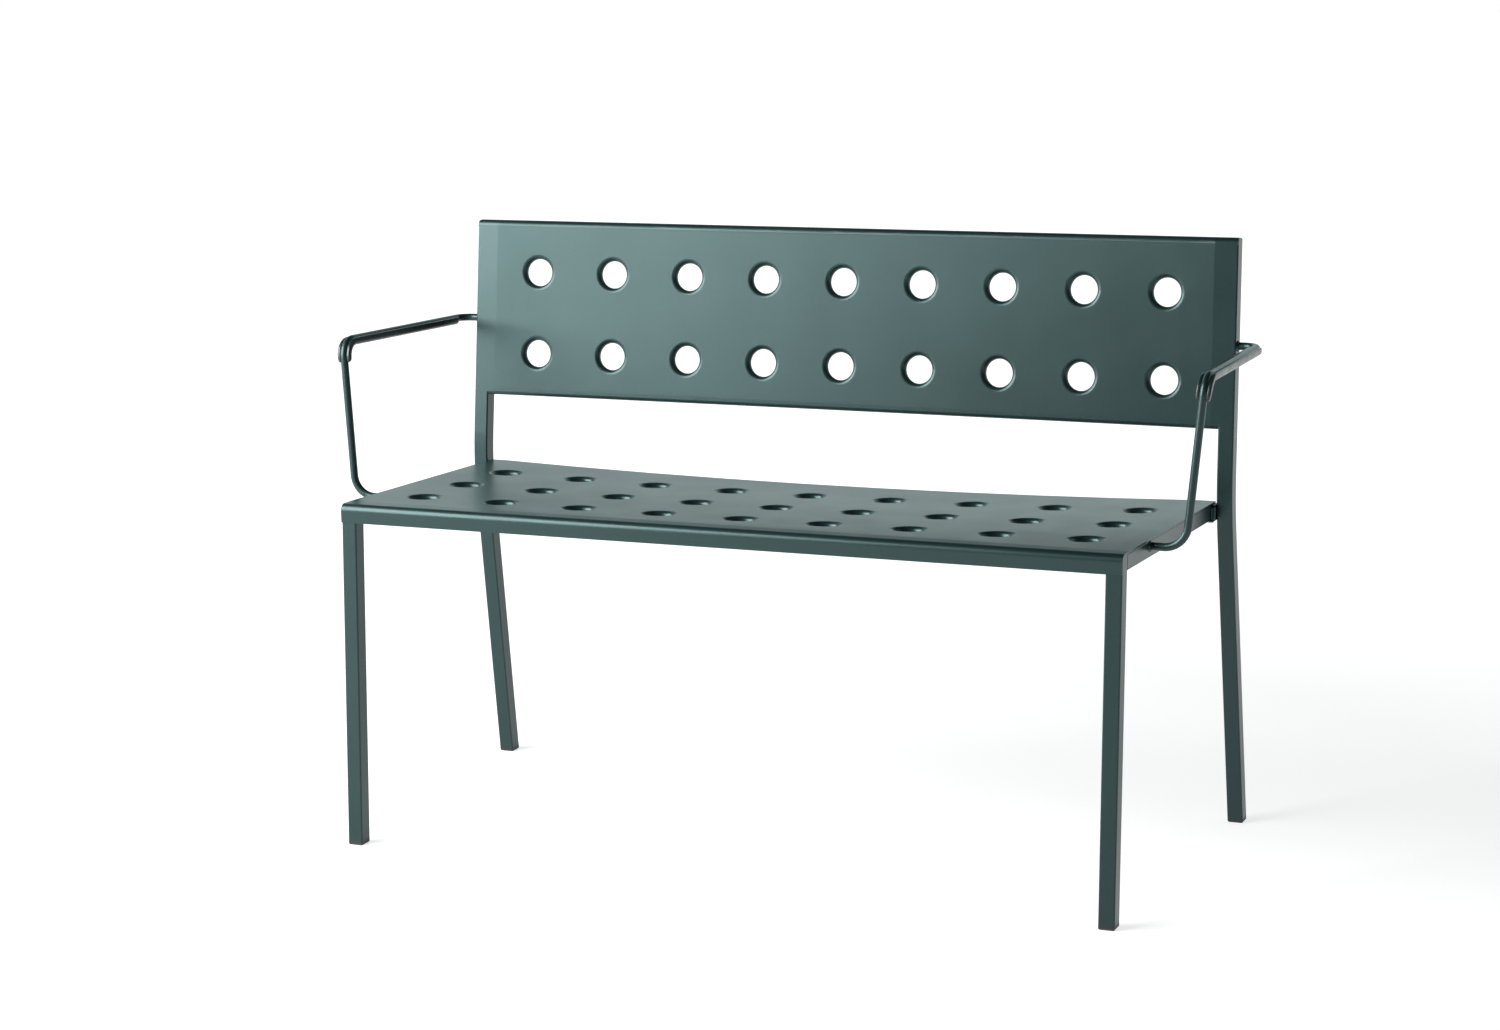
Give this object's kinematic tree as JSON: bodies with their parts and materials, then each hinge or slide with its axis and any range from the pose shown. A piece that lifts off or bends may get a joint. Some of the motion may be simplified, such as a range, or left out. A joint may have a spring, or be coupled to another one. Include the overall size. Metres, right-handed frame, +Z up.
{
  "type": "bench",
  "caption": "Outdoor metal bench with a dished, perforated seat and backrest on a square-tube frame, with two armrests and plastic foot glides.",
  "frame": {"origin": "on the floor, under the centre of the bounding box", "axes": "+X along the bench to the right as seen from in front, -Y the way the sitter faces, +Z up"},
  "size_m": [1.1936, 0.4963, 0.7758],
  "materials": {
    "frame": "satin dark grey-green powder coat, very fine texture",
    "panel": "satin dark grey-green powder coat, very fine texture",
    "armrest_pad": "satin grip in the frame's dark grey-green",
    "foot_glide": "black moulded plastic"
  },
  "bodies": {
    "root": {"armrest_pad_left": "armrest_pad", "armrest_pad_right": "armrest_pad", "armrest_rod_left": "frame", "armrest_rod_right": "frame", "backrest_panel": "panel", "front_foot_glide_left": "foot_glide", "front_foot_glide_right": "foot_glide", "front_leg_left": "frame", "front_leg_right": "frame", "rear_foot_glide_left": "foot_glide", "rear_foot_glide_right": "foot_glide", "rear_leg_left": "frame", "rear_leg_right": "frame", "seat_front_rail": "frame", "seat_panel": "panel", "seat_rear_rail": "frame", "side_rail_left": "frame", "side_rail_right": "frame"}
  },
  "joints": []
}
